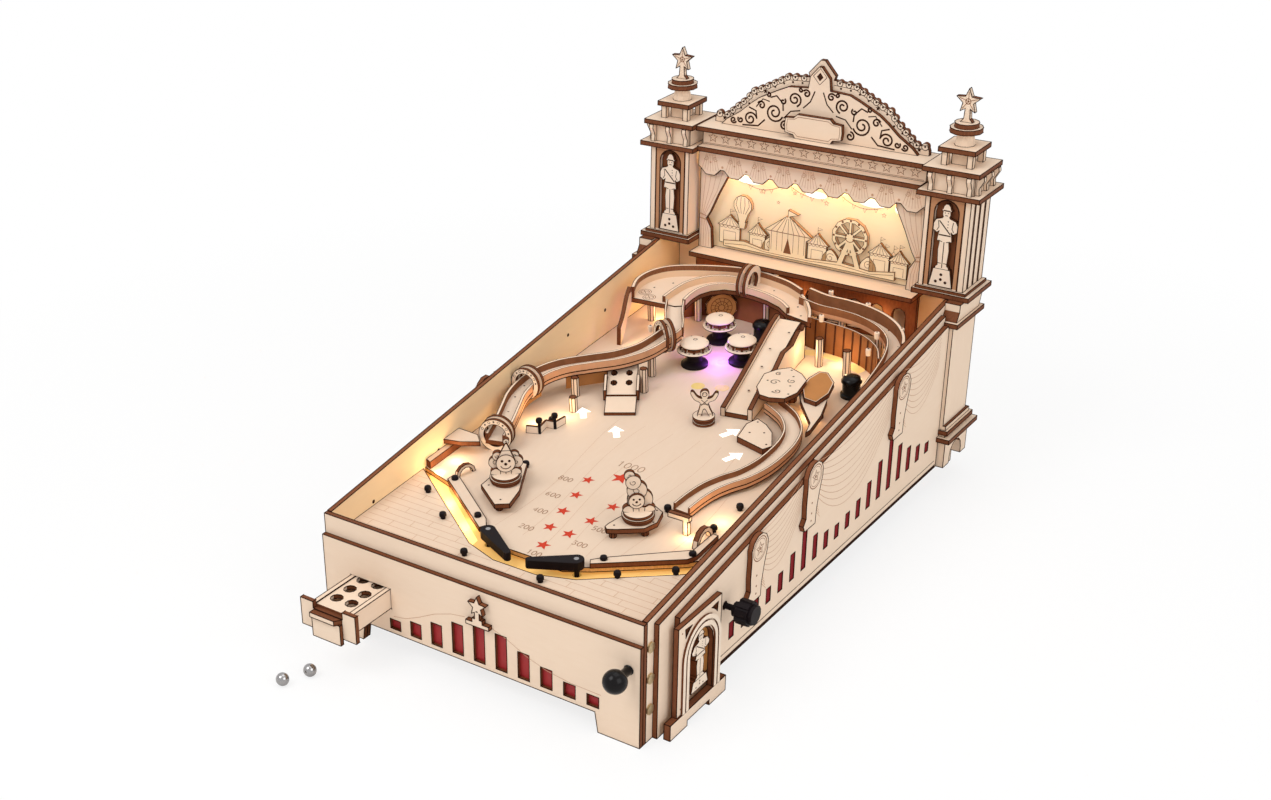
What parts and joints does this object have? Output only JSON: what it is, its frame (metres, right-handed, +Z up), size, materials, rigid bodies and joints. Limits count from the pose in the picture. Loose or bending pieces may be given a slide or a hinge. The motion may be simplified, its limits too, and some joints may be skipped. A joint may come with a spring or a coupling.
{
  "type": "bagatelle board game",
  "caption": "Tabletop plywood bagatelle game with a sloping board, ball tracks, flippers, side buttons, plunger, ball drawer and a stage box with columns.",
  "frame": {"origin": "bottom centre of the bounding box, on the table under the cabinet", "axes": "+X to the player's right, +Y away from the player towards the stage box, +Z up"},
  "size_m": [0.273, 0.4801, 0.2678],
  "materials": {
    "birch": "laser-cut birch plywood, matt, with burnt edges",
    "birch_dark": "small plywood cut-outs with browned edges, matt",
    "red_sheet": "deep red backing sheet, matt",
    "black_plastic": "black moulded plastic, satin",
    "steel": "polished steel",
    "brass": "satin brass"
  },
  "bodies": {
    "cabinet": {"acrobat": "birch_dark", "apron_board": "birch", "base_plates": "birch", "bumper_bases": "black_plastic", "bumper_caps": "birch", "busts": "birch_dark", "capitals": "birch", "cartouche": "birch", "column_shafts": "birch", "corner_arches": "birch", "corner_nuts": "brass", "cornice": "birch", "cross_braces": "birch", "dark_drums": "black_plastic", "drain_channel": "birch", "drape_panels": "birch", "finials": "birch", "front_panel": "birch", "front_rim_wall": "birch", "lane_guides": "birch", "lane_posts": "birch_dark", "loop_deck": "birch", "loop_rails": "birch", "lower_pillars": "birch", "pediment": "birch", "pegs": "black_plastic", "playing_board": "birch", "plunger_lane": "birch", "plunger_lane_rails": "birch", "rear_wall": "birch", "rock_plates": "birch", "rock_ramp": "birch", "rock_walls": "birch", "s_track_deck": "birch", "s_track_rails": "birch", "scene_panel": "birch", "scene_relief": "birch_dark", "slingshots": "birch", "slot_inlays": "red_sheet", "stage_drapery": "birch", "stage_shelf": "birch", "statues": "birch_dark", "straight_ramp": "birch", "track_hoops": "birch_dark", "transfer_tongue": "birch", "wall_layers": "birch", "wall_left": "birch", "wall_right": "birch", "wavy_rails": "birch", "wavy_track": "birch", "wood_ornaments": "birch"},
    "drawer": {"drawer_tray": "birch", "drawer_front": "birch"},
    "plunger": {"plunger": "black_plastic"},
    "flipper_left": {"flipper_left": "black_plastic"},
    "flipper_right": {"flipper_right": "black_plastic"},
    "button_left": {"button_left": "black_plastic"},
    "button_right": {"button_right": "black_plastic"},
    "ball_1": {"ball_1": "steel"},
    "ball_2": {"ball_2": "steel"}
  },
  "joints": [
    {"name": "drawer_slide", "type": "slide", "parent": "cabinet", "child": "drawer", "axis": [0, 1, 0], "range_m": [0, 0.0348]},
    {"name": "plunger_pull", "type": "slide", "parent": "cabinet", "child": "plunger", "axis": [0, -1, 0], "range_m": [0, 0.02], "stiffness_N_per_m": 150, "springref_m": -0.002},
    {"name": "button_left_press", "type": "slide", "parent": "cabinet", "child": "button_left", "axis": [1, 0, 0], "range_m": [0, 0.006], "stiffness_N_per_m": 250, "springref_m": -0.002},
    {"name": "button_right_press", "type": "slide", "parent": "cabinet", "child": "button_right", "axis": [-1, 0, 0], "range_m": [0, 0.006], "stiffness_N_per_m": 250, "springref_m": -0.002},
    {"name": "flipper_left_swing", "type": "hinge", "parent": "cabinet", "child": "flipper_left", "pos_m": [-0.0255, -0.1214, 0.06488], "axis": [0, -0.0688, 0.9976], "range_deg": [0, 50]},
    {"name": "flipper_right_swing", "type": "hinge", "parent": "cabinet", "child": "flipper_right", "pos_m": [0.0365, -0.1214, 0.06488], "axis": [0, -0.0688, 0.9976], "range_deg": [-50, 0]},
    {"name": "ball_1_lift", "type": "slide", "parent": "cabinet", "child": "ball_1", "axis": [0, 0, 1], "range_m": [0, 0.03]},
    {"name": "ball_2_lift", "type": "slide", "parent": "cabinet", "child": "ball_2", "axis": [0, 0, 1], "range_m": [0, 0.03]}
  ],
  "couplings": [
    {"joint": "flipper_left_swing", "follows": "button_left_press", "rad_per_m": 145.43},
    {"joint": "flipper_right_swing", "follows": "button_right_press", "rad_per_m": -145.43}
  ]
}
